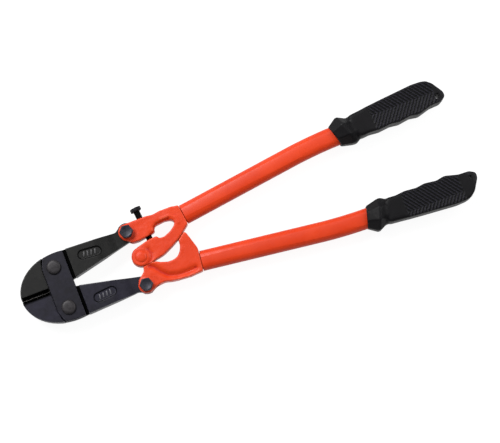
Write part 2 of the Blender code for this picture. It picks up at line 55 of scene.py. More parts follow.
ORIGIN = Vector((HINGES["upper_jaw_hinge"].x, 0.0, HINGES["upper_jaw_hinge"].z))
JAW_PIVOT_Y = HINGES["upper_jaw_hinge"].y / MM
TAIL_X = (HINGES["upper_handle_hinge"].x - ORIGIN.x) / MM
TAIL_Y = HINGES["upper_handle_hinge"].y / MM
CENTRE_X = (HINGES["centre_pivot_hinge"].x - ORIGIN.x) / MM
SCREW_X = (HINGES["adjusting_screw_turn"].x - ORIGIN.x) / MM
REST = ORIGIN.z / MM                 # middle plane above the floor
JAW_FACE = 8.0                       # half the thickness of the jaws
HEAD_FACE = 8.5                      # half the thickness of the handle heads
WEB_FACE = HEAD_FACE - 0.5           # the lower head's web lies a little deeper than its rim
BOLT_R = 4.0                         # shanks of all four bolts
SHANK_TIP = -REST + 0.5              # lower end of the bolts, within the nuts
WASHER_T = 2.1
WASHER_GAP = 0.3                     # room under a bolt head
NUT_AF = 13.0                        # across the flats
TAIL_HEAD_AF = 11.8
HEX_TURN = 21                        # degrees, of every bolt head and nut
PLATE_BOLT_CLEAR = 7.5               # round a jaw bolt the plate's edge stays where it is
TAIL_FROM, TAIL_TO = 43.0, 64.8      # the jaws thin along this stretch
TAIL_STEP = 4.1                      # and lose this much on each face
PANEL_X, PANEL_Y = 37.0, 21.5        # oval panel on each face of a jaw
PANEL_HALF, PANEL_R = 7.0, 4.5       # half its straight length, and the radius of its ends
PANEL_TURN = math.radians(-5.0)
GRIP_X = (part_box("upper_grip")[0].x - ORIGIN.x) / MM + 0.9
GRIP_Y = 43.2
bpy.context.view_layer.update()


def at(x, y, z=0.0):
    """A place in the scene from tool millimetres."""
    return Vector((ORIGIN.x + x * MM, y * MM, ORIGIN.z + z * MM))


def tool_coords(mesh):
    """Vertex places of a mesh in tool millimetres, one row each."""
    co = np.zeros(len(mesh.vertices) * 3)
    mesh.vertices.foreach_get("co", co)
    return (co.reshape(-1, 3) - np.array(ORIGIN)) / MM


def normals_of(mesh):
    n = np.zeros(len(mesh.vertices) * 3)
    mesh.vertex_normals.foreach_get("vector", n)
    return n.reshape(-1, 3)


def push(mesh, distances):
    """Moves each vertex along its normal by a distance in millimetres."""
    co = np.zeros(len(mesh.vertices) * 3)
    mesh.vertices.foreach_get("co", co)
    co = co.reshape(-1, 3) + normals_of(mesh) * distances[:, None] * MM
    mesh.vertices.foreach_set("co", co.ravel())
    mesh.update()


def step_in(value, low, high):
    """Smooth 0 to 1 between two limits."""
    t = np.clip((value - low) / (high - low), 0.0, 1.0)
    return t * t * (3 - 2 * t)


def lumps(points, size, seed):
    """Slow noise, -1 to 1, at each place."""
    return np.array([noise.noise(Vector(p) / size + Vector((seed, seed * 0.7, 3.1))) for p in points])


# ---------------------------------------------------------------- shapes
def settle(obj, body, material, nodes=()):
    """Gives a finished piece its material and body, and hides the CAD nodes it stands for."""
    obj.data.materials.clear()
    obj.data.materials.append(material)
    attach(obj, body)
    if nodes:
        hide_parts(*nodes)
    return obj


def new_object(name, mesh):
    obj = bpy.data.objects.new(name, mesh)
    bpy.context.scene.collection.objects.link(obj)
    return obj


def from_bmesh(name, bm, smooth_angle=32):
    bmesh.ops.recalc_face_normals(bm, faces=bm.faces)
    mesh = bpy.data.meshes.new(name)
    bm.to_mesh(mesh)
    bm.free()
    mesh.shade_smooth()
    mesh.set_sharp_from_angle(angle=math.radians(smooth_angle))
    return new_object(name, mesh)


def copy_of(node, name):
    """A CAD node's solid with its loose triangles merged."""
    mesh = frame["nodes"][node].data.copy()
    bm = bmesh.new()
    bm.from_mesh(mesh)
    bmesh.ops.remove_doubles(bm, verts=bm.verts, dist=2e-6)
    bmesh.ops.dissolve_degenerate(bm, edges=bm.edges, dist=1e-7)
    bm.to_mesh(mesh)
    bm.free()
    return new_object(name, mesh)


def freeze(obj):
    """Puts an object's modifiers into its mesh."""
    ready = obj.evaluated_get(bpy.context.evaluated_depsgraph_get())
    mesh = bpy.data.meshes.new_from_object(ready)
    obj.modifiers.clear()
    obj.data = mesh
    return obj


def skinned(node, name, voxel, rounds):
    """The CAD solid with an even skin of small faces and its edges eased."""
    obj = copy_of(node, name)
    skin = obj.modifiers.new("skin", 'REMESH')
    skin.mode = 'VOXEL'
    skin.voxel_size = voxel * MM
    ease = obj.modifiers.new("ease", 'SMOOTH')
    ease.factor = 0.5
    ease.iterations = rounds
    freeze(obj)
    obj.data.shade_smooth()
    return obj


def store(mesh, name, values):
    """Keeps one number for each vertex, 0 to 1, for the finishes to read."""
    layer = mesh.attributes.new(name, 'FLOAT', 'POINT')
    layer.data.foreach_set("value", np.clip(values, 0.0, 1.0).astype(np.float32))


def mark_crests(obj, reach=1.0, keep=1.0):
    """Stores how sharply the skin bulges as crest, and how sharply it sinks in as hollow."""
    mesh = obj.data
    count = len(mesh.vertices)
    co = tool_coords(mesh)
    ends = np.zeros(len(mesh.edges) * 2, np.int64)
    mesh.edges.foreach_get("vertices", ends)
    a, b = ends.reshape(-1, 2).T
    normal = normals_of(mesh)
    degree = np.bincount(a, minlength=count) + np.bincount(b, minlength=count)
    mean = np.zeros((count, 3))
    for k in range(3):
        mean[:, k] = np.bincount(a, co[b, k], count) + np.bincount(b, co[a, k], count)
    mean /= np.maximum(degree, 1)[:, None]
    bulge = ((co - mean) * normal).sum(1)
    spread = np.linalg.norm(co[a] - co[b], axis=1).mean()
    for _ in range(3):
        near = (np.bincount(a, bulge[b], count) + np.bincount(b, bulge[a], count)) / np.maximum(degree, 1)
        bulge = 0.5 * (bulge + near)
    sharpness = bulge / spread * 9.0
    store(mesh, "hollow", -sharpness)
    store(mesh, "crest", np.clip(sharpness * reach, 0.0, 1.0) * keep)


# ---------------------------------------------------------------- finishes
def shader(name, **values):
    """A new material with plain values on its shader; an underscore stands for a space."""
    mat = bpy.data.materials.new(name)
    mat.use_nodes = True
    tree = mat.node_tree
    principled = tree.nodes["Principled BSDF"]
    for key, value in values.items():
        principled.inputs[key.replace("_", " ")].default_value = value
    return mat, tree, principled


def node(tree, kind, **values):
    made = tree.nodes.new(kind)
    for key, value in values.items():
        if key in made.inputs:
            made.inputs[key].default_value = value
        else:
            setattr(made, key, value)
    return made


def grain(tree, size, detail=3.0, rough=0.55):
    """A noise of the given grain size in millimetres, 0 to 1."""
    coords = node(tree, "ShaderNodeTexCoord")
    made = node(tree, "ShaderNodeTexNoise", Scale=1.0 / (size * MM), Detail=detail, Roughness=rough)
    tree.links.new(coords.outputs["Object"], made.inputs["Vector"])
    return made.outputs["Fac"]


def span(tree, value, low, high, to_low, to_high):
    """Carries the range low to high over to another range, and holds it within that."""
    made = node(tree, "ShaderNodeMapRange")
    made.clamp = True
    for key, number in (("From Min", low), ("From Max", high), ("To Min", to_low), ("To Max", to_high)):
        made.inputs[key].default_value = number
    tree.links.new(value, made.inputs["Value"])
    return made.outputs["Result"]


def times(tree, a, b):
    made = node(tree, "ShaderNodeMath", operation='MULTIPLY')
    tree.links.new(a, made.inputs[0])
    tree.links.new(b, made.inputs[1])
    return made.outputs[0]


def blend_colours(tree, amount, first, second):
    made = node(tree, "ShaderNodeMix", data_type='RGBA')
    tree.links.new(amount, made.inputs["Factor"])
    for colour, key in ((first, 6), (second, 7)):  # the two colour sockets of a mix node
        if isinstance(colour, tuple):
            made.inputs[key].default_value = (*colour, 1.0)
        else:
            tree.links.new(colour, made.inputs[key])
    return made.outputs[2]


def bumped(tree, principled, layers):
    """Chains bumps given as (height, strength, depth in millimetres)."""
    last = None
    for height, strength, depth in layers:
        made = node(tree, "ShaderNodeBump", Strength=strength, Distance=depth * MM)
        tree.links.new(height, made.inputs["Height"])
        if last:
            tree.links.new(last, made.inputs["Normal"])
        last = made.outputs["Normal"]
    tree.links.new(last, principled.inputs["Normal"])


def stored(tree, name="crest"):
    """What the pieces keep for each vertex under this name."""
    return node(tree, "ShaderNodeAttribute", attribute_name=name).outputs["Fac"]


def red_enamel(name, cast=False):
    """Orange red paint, paler on the crests where it is worn thin and with a painted highlight, darker in the
    hollows as painted shade, lumpy on a casting.
    """
    mat, tree, principled = shader(name, Metallic=0.0, Specular_IOR_Level=0.27, Coat_Weight=0.05,
                                   Coat_Roughness=0.22)
    drift = span(tree, grain(tree, 28, 2.0), 0.35, 0.65, 0.0, 1.0)
    body = blend_colours(tree, drift, ENAMEL, ENAMEL_DULL)
    # Paler enamel on the crests: paint worn thin, and a painted highlight.
    wear_and_highlight = span(tree, times(tree, stored(tree), grain(tree, 2.5, 4.0)), 0.16, 0.5, 0.0, 0.55)
    body = blend_colours(tree, wear_and_highlight, body, ENAMEL_WORN_HIGHLIGHT)
    # Painted shade: the hollows take darker enamel.
    hollow_shade = span(tree, stored(tree, "hollow"), 0.05, 0.45, 0.0, 0.9)
    body = blend_colours(tree, hollow_shade, body, ENAMEL_HOLLOW_SHADE)
    tree.links.new(body, principled.inputs["Base Color"])
    tree.links.new(span(tree, grain(tree, 6, 4.0), 0.3, 0.7, 0.40, 0.55), principled.inputs["Roughness"])
    layers = [(grain(tree, 1.6, 2.0), 0.16, 0.10), (grain(tree, 0.35, 3.0), 0.06, 0.03)]
    if cast:
        layers.insert(0, (grain(tree, 5.0, 4.0, 0.6), 0.55, 0.6))
    bumped(tree, principled, layers)
    return mat


def oxide_steel(name, base, worn_highlight, rough=(0.38, 0.54), metallic=0.25, blades=False, mottling=9.0):
    """Blackened steel, paler on the crests where it is rubbed and with a painted highlight; on a blade the
    bevel, the groove behind the plates and the panel rims take painted shade in black, and the edge is bare
    steel with a painted highlight.
    """
    mat, tree, principled = shader(name, Metallic=metallic, Specular_IOR_Level=0.28)
    mottle = span(tree, grain(tree, mottling, 6.0, 0.7), 0.34, 0.66, 0.0, 1.0)
    tone = blend_colours(tree, mottle, tuple(0.6 * c for c in base), tuple(1.5 * c for c in base))
    # Crests take the paler colour: rubbed steel, and a painted highlight.
    wear_and_highlight = span(tree, times(tree, stored(tree), grain(tree, 1.2, 4.0)), 0.12, 0.55, 0.0, 0.85)
    tone = blend_colours(tree, wear_and_highlight, tone, worn_highlight)
    if blades:
        # Painted shade: black on the bevel, in the groove behind the plates and round the panels.
        tone = blend_colours(tree, stored(tree, "painted_shade"), tone, PAINTED_SHADE_BLACK)
        # The cutting edge: bare steel with a painted highlight.
        tone = blend_colours(tree, stored(tree, "keen_highlight"), tone, BARE_EDGE_HIGHLIGHT)
        # The painted shade is also made fully metallic, so it reflects nothing and stays black.
        metal = span(tree, stored(tree, "painted_shade"), 0.0, 1.0, metallic, 1.0)
        tree.links.new(metal, principled.inputs["Metallic"])
    tree.links.new(tone, principled.inputs["Base Color"])
    tree.links.new(span(tree, grain(tree, 3.0, 5.0), 0.3, 0.7, *rough), principled.inputs["Roughness"])
    bumped(tree, principled, [(grain(tree, 0.9, 4.0), 0.14, 0.08), (grain(tree, 0.22, 2.0), 0.10, 0.03)])
    return mat


def vinyl(name):
    """Black moulded plastic, with a painted highlight on crests and on the tops of the ribs and painted shade
    in the grooves.
    """
    mat, tree, principled = shader(name, Metallic=0.0, Specular_IOR_Level=0.15)
    cloud = span(tree, grain(tree, 14, 4.0), 0.3, 0.7, 0.0, 1.0)
    tone = blend_colours(tree, cloud, (0.0012, 0.0010, 0.0016), (0.0028, 0.0025, 0.0034))
    # Painted highlight: the crests take a paler black.
    crest_sheen = span(tree, times(tree, stored(tree), grain(tree, 1.8, 3.0)), 0.15, 0.6, 0.0, 0.5)
    tone = blend_colours(tree, crest_sheen, tone, VINYL_CREST_SHEEN)
    # Painted highlight: the tops of the ribs take a paler, bluish black.
    rib_highlight = span(tree, stored(tree, "rib"), 0.5, 1.0, 0.0, 0.8)
    tone = blend_colours(tree, rib_highlight, tone, VINYL_RIB_HIGHLIGHT)
    # Painted shade: the grooves between the ribs take a near black.
    tone = blend_colours(tree, stored(tree, "groove"), tone, VINYL_GROOVE_SHADE)
    tree.links.new(tone, principled.inputs["Base Color"])
    tree.links.new(span(tree, grain(tree, 2.2, 4.0), 0.3, 0.7, 0.46, 0.62), principled.inputs["Roughness"])
    bumped(tree, principled, [(grain(tree, 0.8, 3.0), 0.20, 0.10), (grain(tree, 0.28, 2.0), 0.16, 0.05)])
    return mat


ENAMEL, ENAMEL_DULL = (0.585, 0.038, 0.0035), (0.54, 0.031, 0.0020)
# Paler enamel for the crests, worn and with a painted highlight, and darker enamel for painted shade in the
# hollows.
ENAMEL_WORN_HIGHLIGHT, ENAMEL_HOLLOW_SHADE = (0.68, 0.12, 0.055), (0.42, 0.012, 0.001)
# Black for painted shade on a blade, and pale steel for its bare edge with a painted highlight.
PAINTED_SHADE_BLACK, BARE_EDGE_HIGHLIGHT = (0.0015, 0.0015, 0.0015), (0.42, 0.41, 0.40)
# Paler black for a painted highlight on the crests and the rib tops, and near black for painted shade in the
# grooves.
VINYL_CREST_SHEEN, VINYL_RIB_HIGHLIGHT = (0.024, 0.023, 0.028), (0.0120, 0.0108, 0.0180)
VINYL_GROOVE_SHADE = (0.0006, 0.0006, 0.0008)

PAINT_CAST = red_enamel("red enamel on castings", cast=True)
PAINT_TUBE = red_enamel("red enamel on tubes")
# The second colour of each steel is its paler crest colour: rubbed steel with a painted highlight.
JAW_BLACK = oxide_steel("black oxide on upper jaw", (0.0034, 0.0033, 0.0030), (0.070, 0.070, 0.072),
                        blades=True)
JAW_BLUE = oxide_steel("blue black oxide on lower jaw", (0.0074, 0.0067, 0.0138), (0.085, 0.085, 0.095),
                       blades=True)
PLATE_BLUE = oxide_steel("blue black oxide on plates", (0.0050, 0.0044, 0.0096), (0.036, 0.036, 0.046))
PIVOT_BOLT = oxide_steel("brown oxide on jaw bolts", (0.021, 0.019, 0.021), (0.10, 0.09, 0.09),
                         rough=(0.40, 0.55), mottling=3.0)
BLUED = oxide_steel("blued steel on bolts", (0.021, 0.021, 0.029), (0.15, 0.15, 0.17),
                    rough=(0.34, 0.50), metallic=0.4, mottling=2.2)
SCREW_BLACK = oxide_steel("black steel of the adjusting screw", (0.0010, 0.0010, 0.0012),
                          (0.022, 0.022, 0.025), rough=(0.50, 0.66), metallic=0.85)
VINYL = vinyl("moulded black vinyl")


# ---------------------------------------------------------------- jaws and plates
def jaw_back(x):
    """How far the round back of a closed jaw lies from the middle line."""
    return (JAW_PIVOT_Y + 13.7) * np.sqrt(1.0 - ((x - 4.8) / 45.0) ** 2)


def save_places(mesh, places):
    """Puts vertices at the given tool millimetres."""
    mesh.vertices.foreach_set("co", (places * MM + np.array(ORIGIN)).ravel())
    mesh.update()


def taper_tail(mesh, side):
    """A long easy slope down to the thin tail, and a lower tail end that stays behind its boss."""
    places = tool_coords(mesh)
    normal = normals_of(mesh)
    x, z = places[:, 0], places[:, 2]
    face = (np.abs(normal[:, 2]) > 0.35) & (x > TAIL_FROM) & (np.abs(z) > JAW_FACE - TAIL_STEP)
    slope = JAW_FACE - TAIL_STEP * step_in(x, TAIL_FROM, TAIL_TO)
    places[face, 2] = np.sign(z[face]) * np.minimum(np.abs(z[face]), slope[face])
    edge = ~face & (x > TAIL_FROM) & (np.abs(z) > slope)
    places[edge, 2] = np.sign(z[edge]) * slope[edge]
    if side < 0:
        dx, dy = places[:, 0] - TAIL_X, places[:, 1] + TAIL_Y
        r = np.maximum(np.hypot(dx, dy), 0.1)
        away = step_in((0.6 * dx - 0.8 * dy) / r, -0.75, 0.15)
        pull = 1.5 * away * step_in(r, 7.2, 9.2) * step_in(-r, -16.0, -10.0)
        places[:, 0] -= dx / r * pull
        places[:, 1] -= dy / r * pull
    save_places(mesh, places)


def jaw(label, side, finish):
    """A blade with painted shade in black on its bevel, in the groove behind the plates and round its two
    oval panels, and a bare edge with a painted highlight.
    """
    obj = skinned(f"{label}_jaw", f"{label}_jaw_blade", 0.36, 3)
    taper_tail(obj.data, side)
    x, y, z = tool_coords(obj.data).T
    y = y * side
    ahead = step_in(-x, 10.9, 12.2)
    bevel_end = 3.5 if side > 0 else 5.2
    # Painted shade: a black band along the bevel behind the edge.
    bevel = ahead * step_in(-y, -bevel_end, -3.2) * step_in(y, 0.16, 0.36)
    # Painted shade: black in the groove behind the plates.
    groove = step_in(x, 12.6, 13.0) * step_in(-x, -16.6, -16.2) * step_in(-np.abs(z), -7.7, -7.2)
    cos, sin = math.cos(PANEL_TURN), math.sin(PANEL_TURN)
    along = (x - PANEL_X) * cos + (y - PANEL_Y) * sin
    across = (y - PANEL_Y) * cos - (x - PANEL_X) * sin
    # Painted shade: a dark ring round each panel.
    rim = np.abs(np.hypot(np.maximum(np.abs(along) - PANEL_HALF, 0.0), across) - PANEL_R)
    rim = 0.85 * step_in(-rim, -0.75, -0.35) * (np.abs(z) > 5.0)
    store(obj.data, "painted_shade", np.maximum(np.maximum(bevel, groove), rim))
    # A thin pale line along the cutting edge: bare steel with a painted highlight.
    store(obj.data, "keen_highlight", ahead * step_in(-y, -0.42, -0.22))
    # The paler crest colour, wear and painted highlight, is kept off under the plate and along the blade
    # edge.
    behind_back = y < jaw_back(np.clip(x, -20, 30)) - 1.2
    under_plate = step_in(x, -15.0, -13.0) * step_in(-x, -19.0, -17.0) * behind_back
    near_edge = ahead * step_in(-y, -5.0, -4.0)
    mark_crests(obj, 1.0, (1.0 - under_plate) * (1.0 - near_edge))
    settle(obj, f"{label}_jaw", finish, [f"{label}_jaw"])
    panel_bars(label, side, finish)


def panel_bars(label, side, finish):
    """Four plain raised bars in each oval panel of a jaw, pale all over, worn and with a painted highlight.
    """
    bars = bmesh.new()
    angle = PANEL_TURN * side
    for face in (1, -1):
        for k in range(4):
            made = bmesh.ops.create_cube(bars, size=1.0)["verts"]
            size = Matrix.Diagonal((1.5 * MM, 5.0 * MM, 1.1 * MM, 1.0))
            slant = Matrix.Rotation(angle - math.radians(14), 4, 'Z')
            along = Vector((math.cos(angle), math.sin(angle), 0.0)) * (k - 1.5) * 3.7 * MM
            place = Matrix.Translation(at(PANEL_X, PANEL_Y * side, face * (JAW_FACE - 0.7)) + along)
            bmesh.ops.transform(bars, matrix=place @ slant @ size, verts=made)
    bmesh.ops.bevel(bars, geom=bars.edges[:], offset=0.15 * MM, offset_type='OFFSET', segments=2, profile=0.5,
                    affect='EDGES', material=-1)
    marks = from_bmesh(f"{label}_jaw_panel_bars", bars)
    # The whole bars take the paler crest colour: rubbed steel with a painted highlight.
    store(marks.data, "crest", np.full(len(marks.data.vertices), 1.0))
    settle(marks, f"{label}_jaw", finish)


def strap_plate(label):
    """A plate whose front edge is eased out towards the blades."""
    obj = skinned(f"{label}_strap_plate", f"{label}_strap", 0.30, 2)
    x, y, _ = tool_coords(obj.data).T
    normal = normals_of(obj.data)
    front_edge = step_in(-normal[:, 0], 0.3, 0.8) * step_in(-x, 4.0, 6.5)
    round_part = step_in(np.abs(y), 25.0, 29.0)
    off_bolts = np.hypot(x, np.abs(y) - JAW_PIVOT_Y) > PLATE_BOLT_CLEAR
    push(obj.data, front_edge * (0.12 + 0.40 * round_part) * off_bolts)
    mark_crests(obj, 0.5)
    settle(obj, "strap_plates", PLATE_BLUE, [f"{label}_strap_plate"])


# ---------------------------------------------------------------- bolts
def turned(profile, x, y, steps=64):
    """A lathe shape about a vertical axis from (radius, z) pairs that start and end on the axis."""
    bm = bmesh.new()
    line = [bm.verts.new(at(x + r, y, z)) for r, z in profile]
    for a, b in zip(line, line[1:]):
        bm.edges.new((a, b))
    bmesh.ops.spin(bm, geom=bm.verts[:] + bm.edges[:], cent=at(x, y), axis=(0, 0, 1), angle=2 * math.pi,
                   steps=steps, use_merge=True)
    bmesh.ops.remove_doubles(bm, verts=bm.verts, dist=1e-6)
    return bm


def hexagon(x, y, z0, z1, af, turn):
    """A plain upright hexagon block."""
    bm = bmesh.new()
    made = bmesh.ops.create_cone(bm, cap_ends=True, segments=6, radius1=af / math.sqrt(3) * MM,
                                 radius2=af / math.sqrt(3) * MM, depth=(z1 - z0) * MM)["verts"]
    place = Matrix.Translation(at(x, y, 0.5 * (z0 + z1))) @ Matrix.Rotation(math.radians(turn), 4, 'Z')
    bmesh.ops.transform(bm, matrix=place, verts=made)
    return bm


def chamfered_hex(name, x, y, z0, z1, af, both=False):
    """A hexagon block with its corners turned down to a cone at the top, or at both ends."""
    block = from_bmesh(name, hexagon(x, y, z0, z1, af, HEX_TURN))
    r = 0.5 * af
    foot = [(0, z0 - 1), (11, z0 - 1)]
    if both:
        foot = [(0, z0), (r * 0.97, z0), (r * 0.97 + 1.9, z0 + 1.1)]
    top = [(r * 0.96 + 2.0, z1 - 1.15), (r * 0.96, z1), (r * 0.80, z1), (r * 0.74, z1 - 0.18), (0, z1 - 0.18)]
    cone = foot + top
    tool = from_bmesh(name + "_cone", turned(cone, x, y))
    trim = block.modifiers.new("turned", 'BOOLEAN')
    trim.operation, trim.solver, trim.object = 'INTERSECT', 'EXACT', tool
    freeze(block)
    bpy.data.objects.remove(tool, do_unlink=True)
    return block


def soften(obj, width=0.18, segments=2):
    """Rounds the sharp edges over by a width in millimetres."""
    edge = obj.modifiers.new("edge", 'BEVEL')
    edge.width, edge.segments, edge.limit_method = width * MM, segments, 'ANGLE'
    edge.angle_limit = math.radians(28)
    edge.use_clamp_overlap = True
    freeze(obj)
    obj.data.shade_smooth()
    obj.data.set_sharp_from_angle(angle=math.radians(40))


def joined(name, objects):
    """One piece out of several."""
    bm = bmesh.new()
    for obj in objects:
        bm.from_mesh(obj.data)
        bpy.data.objects.remove(obj, do_unlink=True)
    return from_bmesh(name, bm, 40)


def tail_bolt(label, side):
    y = side * TAIL_Y
    head = chamfered_hex(f"{label}_tail_head", TAIL_X, y, HEAD_FACE + WASHER_GAP, HEAD_FACE + 5.4,
                         TAIL_HEAD_AF)
    soften(head)
    top = HEAD_FACE + 0.6
    outline = [(0, SHANK_TIP), (BOLT_R - 0.6, SHANK_TIP), (BOLT_R, SHANK_TIP + 0.6), (BOLT_R, top), (0, top)]
    shank = from_bmesh(f"{label}_shank", turned(outline, TAIL_X, y, 40))
    obj = joined(f"{label}_tail_bolt_steel", [head, shank])
    mark_crests(obj, 0.4)
    settle(obj, f"{label}_handle", BLUED, [f"{label}_tail_bolt"])


def jaw_bolt(label, side):
    """A low dome on a shank with a wider middle for the jaw to turn on."""
    y = side * JAW_PIVOT_Y
    z = JAW_FACE + WASHER_GAP
    dome = [(0, z + 2.6), (3.9, z + 2.55), (5.5, z + 2.35), (6.4, z + 1.9), (6.9, z + 1.2), (7.0, z + 0.5),
            (6.85, z)]
    shank = [(BOLT_R, z), (BOLT_R, 3.6), (BOLT_R + 1.0, 3.6), (BOLT_R + 1.0, -3.6), (BOLT_R, -3.6),
             (BOLT_R, SHANK_TIP + 0.6), (BOLT_R - 0.6, SHANK_TIP), (0, SHANK_TIP)]
    obj = from_bmesh(f"{label}_jaw_bolt_steel", turned(dome + shank, 0, y, 56))
    mark_crests(obj, 0.3)
    settle(obj, "strap_plates", PIVOT_BOLT, [f"{label}_jaw_pivot_bolt"])


def nut(node_name, body, x, y, z_top):
    obj = chamfered_hex(node_name + "_block", x, y, -REST, z_top, NUT_AF, both=True)
    bore = BOLT_R + 0.3
    outline = [(0, -REST - 2), (bore, -REST - 2), (bore, z_top + 2), (0, z_top + 2)]
    drill = from_bmesh(node_name + "_drill", turned(outline, x, y, 40))
    hole = obj.modifiers.new("thread", 'BOOLEAN')
    hole.operation, hole.solver, hole.object = 'DIFFERENCE', 'EXACT', drill
    freeze(obj)
    bpy.data.objects.remove(drill, do_unlink=True)
    soften(obj, 0.15)
    obj.name = node_name + "_steel"
    mark_crests(obj, 0.4)
    settle(obj, body, BLUED, [node_name])


def washer(node_name, body):
    obj = copy_of(node_name, node_name + "_ring")
    soften(obj, 0.12)
    mark_crests(obj, 0.4)
    settle(obj, body, BLUED, [node_name])


# ---------------------------------------------------------------- handle heads
def distance_to(path, x, y):
    """Distance of each place to an open line of points."""
    best = np.full(len(x), 1e9)
    for (ax, ay), (bx, by) in zip(path, path[1:]):
        dx, dy = bx - ax, by - ay
        t = np.clip(((x - ax) * dx + (y - ay) * dy) / (dx * dx + dy * dy), 0.0, 1.0)
        best = np.minimum(best, np.hypot(x - ax - t * dx, y - ay - t * dy))
    return best


def inside(corners, x, y):
    """True within a polygon, by counting crossings."""
    odd = np.zeros(len(x), bool)
    for (ax, ay), (bx, by) in zip(corners, corners[1:] + corners[:1]):
        crosses = (ay > y) != (by > y)
        rise = (by - ay) if by != ay else 1e-9
        odd ^= crosses & ((x - ax) < (bx - ax) * (y - ay) / rise)
    return odd


# On the face of the lower head: the outline of its web's pocket, and the middle of the trough along its rim.
POCKET = [(84.5, -20.5), (90.0, -18.9), (97.0, -17.5), (105.0, -18.0), (112.0, -18.6), (118.0, -15.2),
          (122.0, -11.0), (126.2, -3.0), (128.8, -7.0), (131.0, -12.0), (130.0, -21.0), (129.2, -29.6),
          (112.0, -29.8), (104.0, -28.6), (96.0, -26.4), (91.0, -27.2), (86.4, -27.6)]
TROUGH = [(87.0, -12.0), (90.5, -14.6), (94.8, -20.8), (100.4, -26.2), (108.3, -29.0), (119.5, -29.8),
          (127.0, -29.0)]


def sculpt_web(mesh):
    """The web of the lower head rises smoothly out of a trough that follows its lower rim."""
    places = tool_coords(mesh)
    x, y, z = places.T
    near = inside(POCKET, x, y) | (distance_to(POCKET + POCKET[:1], x, y) < 1.1)
    trough = 2.1 * np.exp(-(distance_to(TROUGH, x, y) / 2.6) ** 2)
    web = near & (np.abs(z) > 5.8)
    places[web, 2] = np.sign(z[web]) * (WEB_FACE - trough[web])
    normal = normals_of(mesh)
    front = step_in(np.abs(normal[:, 2]), 0.35, 0.8) * step_in(np.abs(z), 6.0, 7.4)
    places[:, 2] -= np.sign(z) * ~near * front * trough
    save_places(mesh, places)
    smooth_faces(mesh, 6)


# On the face of the upper head: lines beside its pivot boss, around its loop and along the loop's wall.
ARM_DIP = [(87.5, -8.6), (91.5, -5.0), (92.6, -0.6), (91.0, 4.0)]
LOOP_LIP = [(113.0, 27.2), (121.0, 27.6), (126.4, 24.0), (127.4, 18.6)]
LOOP_WALL = [(99.0, 16.6), (103.0, 18.4), (104.4, 22.0), (107.0, 24.0), (114.8, 25.0), (119.0, 24.8)]


def sculpt_arm(mesh):
    """A dip beside the pivot boss of the upper head, a low lip around its loop and a slanted wall into it."""
    places = tool_coords(mesh)
    x, y, z = places.T
    normal = normals_of(mesh)
    front = step_in(np.abs(normal[:, 2]), 0.55, 0.9) * step_in(np.abs(z), 6.0, 7.4)
    shift = 0.5 * np.exp(-(distance_to(LOOP_LIP, x, y) / 1.5) ** 2)
    shift -= 1.0 * np.exp(-(distance_to(ARM_DIP, x, y) / 2.6) ** 2)
    shift *= front
    shift -= 2.2 * np.exp(-(distance_to(LOOP_WALL, x, y) / 1.7) ** 2) * step_in(np.abs(z), 3.0, 7.4)
    places[:, 2] += np.sign(z) * shift
    save_places(mesh, places)
    smooth_faces(mesh, 3)


def smooth_faces(mesh, rounds):
    """Evens out the heights of a head's skin and leaves its outline alone."""
    bm = bmesh.new()
    bm.from_mesh(mesh)
    for _ in range(rounds):
        bmesh.ops.smooth_vert(bm, verts=bm.verts, factor=0.5, use_axis_z=True)
    bm.to_mesh(mesh)
    bm.free()


def casting(label):
    """A handle head with the uneven skin of a painted casting, even again where the tube meets it."""
    obj = skinned(f"{label}_handle_head", f"{label}_handle_head_casting", 0.48, 7)
    places = tool_coords(obj.data)
    rough = lumps(places, 9.0, 2.0 if label == "upper" else 5.0)
    fine = lumps(places, 3.6, 8.0)
    push(obj.data, (0.20 * rough + 0.10 * fine) * step_in(-places[:, 0], -133.5, -131.0))
    if label == "lower":
        sculpt_web(obj.data)
    else:
        sculpt_arm(obj.data)
    mark_crests(obj, 1.1)
    settle(obj, f"{label}_handle", PAINT_CAST, [f"{label}_handle_head"])


def centre_pin():
    """The painted rivet between the heads, slightly domed at both ends."""
    obj = skinned("center_pivot_pin", "centre_pin_rivet", 0.28, 4)
    places = tool_coords(obj.data)
    r = np.hypot(places[:, 0] - CENTRE_X, places[:, 1])
    places[:, 2] -= np.sign(places[:, 2]) * 1.5 * np.minimum(r / 6.0, 1.0) ** 3 * (np.abs(places[:, 2]) > 8.2)
    save_places(obj.data, places)
    mark_crests(obj)
    settle(obj, "upper_handle", PAINT_CAST, ["center_pivot_pin"])


